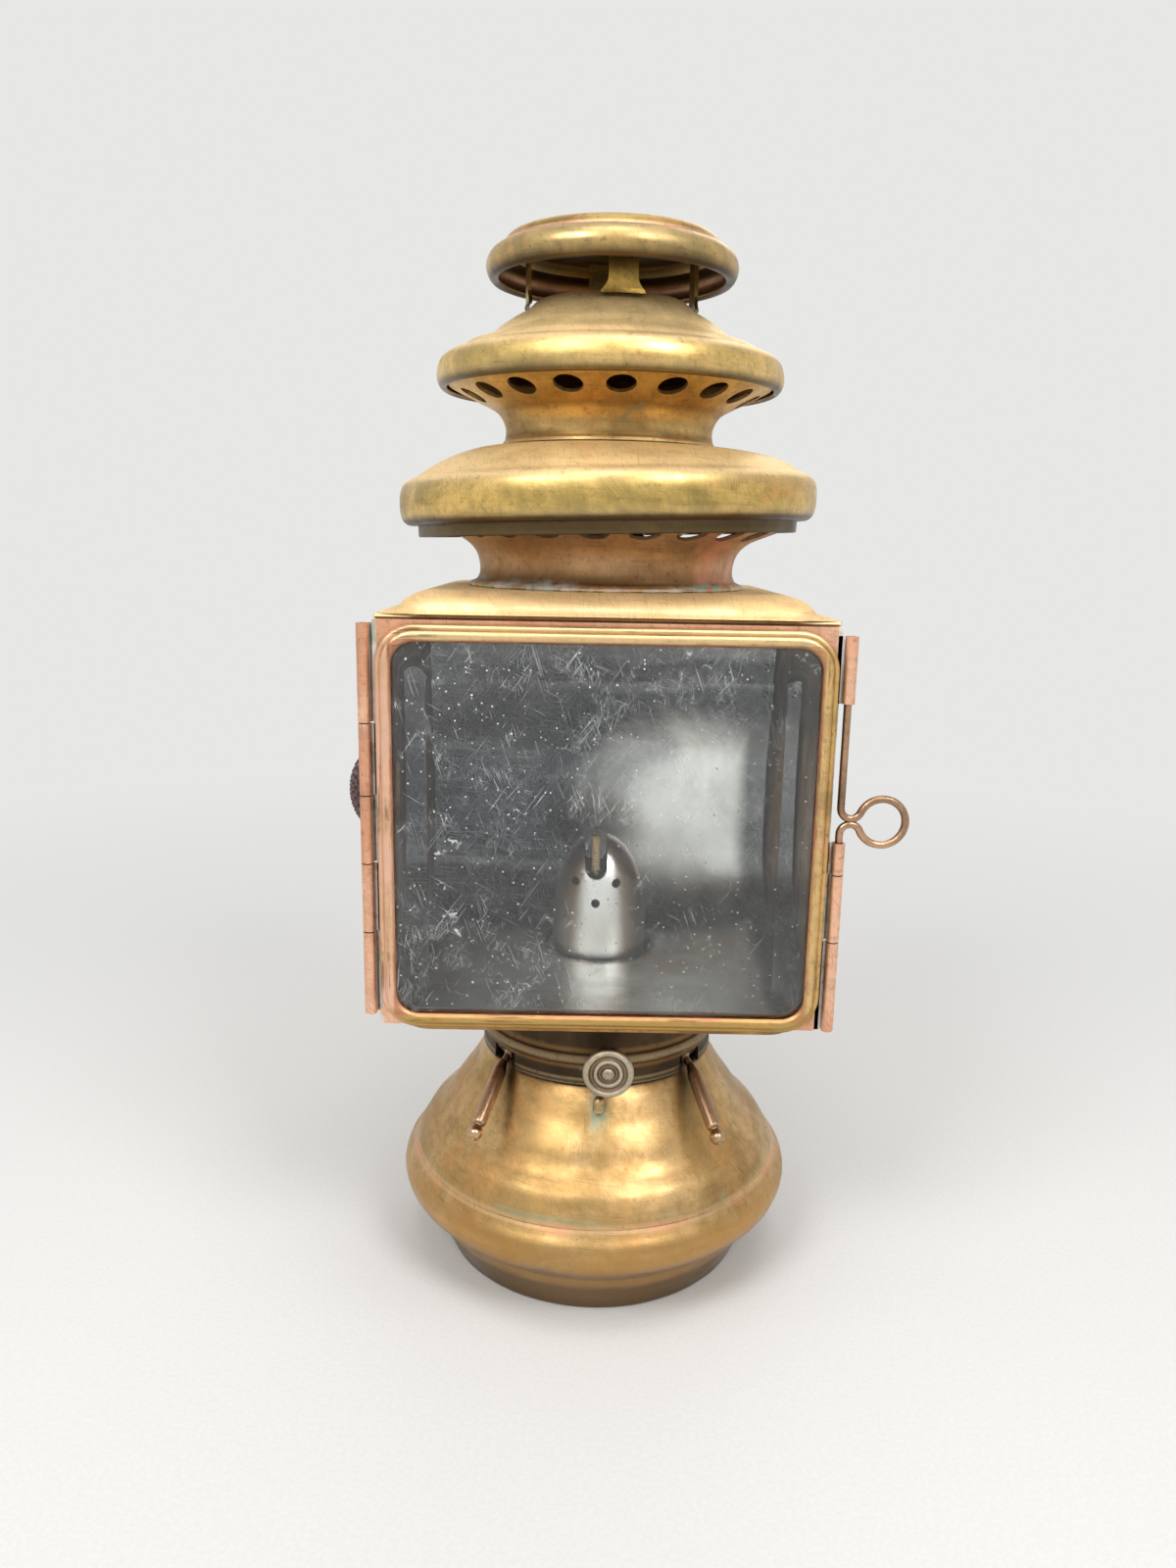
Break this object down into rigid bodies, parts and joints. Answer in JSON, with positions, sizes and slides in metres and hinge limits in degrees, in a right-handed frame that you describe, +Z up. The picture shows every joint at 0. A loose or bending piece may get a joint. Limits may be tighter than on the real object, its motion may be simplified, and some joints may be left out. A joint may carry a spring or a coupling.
{
  "type": "kerosene side lamp",
  "caption": "Brass kerosene side lamp: round oil font with flat-wick burner, square glazed housing with hinged door and wire latch, vented two-tier chimney with cap.",
  "frame": {"origin": "centre of the font's flat foot, which stands on the table", "axes": "+Z up, -Y towards the door and the wick knob, +X towards the wire latch"},
  "size_m": [0.1431, 0.1124, 0.2768],
  "materials": {
    "aged_brass": "polished long ago, now tarnished gold with brown spots",
    "dark_brass": "brown patina with old polish in the creases",
    "copper_toned_brass": "pink-orange, where the zinc has left the surface",
    "silvered_copper": "silvered sheet, scratched and dull",
    "nickel_plate": "nickel plate with heat stains",
    "steel": "dark steel wire",
    "cotton": "woven cotton, charred at the top",
    "plate_glass": "clear bevelled glass, scratched",
    "ruby_glass": "dark red moulded glass"
  },
  "bodies": {
    "font": {"font_pan": "aged_brass", "font_dome": "aged_brass", "font_neck": "dark_brass", "locating_stud": "aged_brass", "burner_base": "dark_brass", "burner_gallery": "dark_brass", "burner_cap": "nickel_plate", "wick_tube": "dark_brass"},
    "wick": {"wick": "cotton"},
    "raiser": {"raiser_shaft": "steel", "spur_wheel_front": "dark_brass", "spur_wheel_rear": "dark_brass", "wick_knob": "dark_brass"},
    "housing": {"case_walls": "dark_brass", "front_flange": "copper_toned_brass", "bottom_pan": "dark_brass", "font_collar": "dark_brass", "roof": "copper_toned_brass", "mirror": "silvered_copper", "jewel_bezel": "aged_brass", "jewel_lens": "ruby_glass", "bracket_socket": "dark_brass", "socket_rivet_1": "aged_brass", "socket_rivet_2": "aged_brass", "socket_rivet_3": "aged_brass", "socket_rivet_4": "aged_brass", "catch_pin_left": "steel", "catch_pin_right": "steel", "hinge_pin": "steel", "lower_neck": "dark_brass", "lower_canopy": "aged_brass", "upper_neck": "dark_brass", "upper_canopy": "aged_brass", "cap_strap_front": "aged_brass", "cap_strap_right": "aged_brass", "cap_strap_back": "aged_brass", "cap_strap_left": "aged_brass", "chimney_cap": "aged_brass"},
    "catch_left": {"catch_left": "copper_toned_brass"},
    "catch_right": {"catch_right": "copper_toned_brass"},
    "door": {"door_plate": "copper_toned_brass", "door_bezel": "copper_toned_brass", "door_glass": "plate_glass"},
    "latch": {"latch_wire": "copper_toned_brass"}
  },
  "joints": [
    {"name": "raiser_turn", "type": "hinge", "parent": "font", "child": "raiser", "pos_m": [0.00265, 0, 0.0687], "axis": [0, 1, 0], "range_deg": [-97, 145]},
    {"name": "wick_slide", "type": "slide", "parent": "font", "child": "wick", "axis": [0, 0, 1], "range_m": [-0.004, 0.006]},
    {"name": "housing_lift", "type": "slide", "parent": "font", "child": "housing", "axis": [0, 0, 1], "range_m": [0, 0.07]},
    {"name": "catch_left_squeeze", "type": "hinge", "parent": "housing", "child": "catch_left", "pos_m": [-0.02418, -0.01924, 0.0627], "axis": [0, 0, 1], "range_deg": [0, 3.5], "stiffness_Nm_per_rad": 0.5},
    {"name": "catch_right_squeeze", "type": "hinge", "parent": "housing", "child": "catch_right", "pos_m": [0.02418, -0.01924, 0.0627], "axis": [0, 0, -1], "range_deg": [0, 3.5]},
    {"name": "door_swing", "type": "hinge", "parent": "housing", "child": "door", "pos_m": [-0.0567, -0.0473, 0.134], "axis": [0, 0, -1], "range_deg": [0, 120]},
    {"name": "latch_lift", "type": "slide", "parent": "door", "child": "latch", "axis": [0, 0, 1], "range_m": [-0.0018, 0.02]}
  ],
  "couplings": [
    {"joint": "raiser_turn", "follows": "wick_slide", "rad_per_m": 416.67},
    {"joint": "catch_right_squeeze", "follows": "catch_left_squeeze", "ratio": 1}
  ]
}
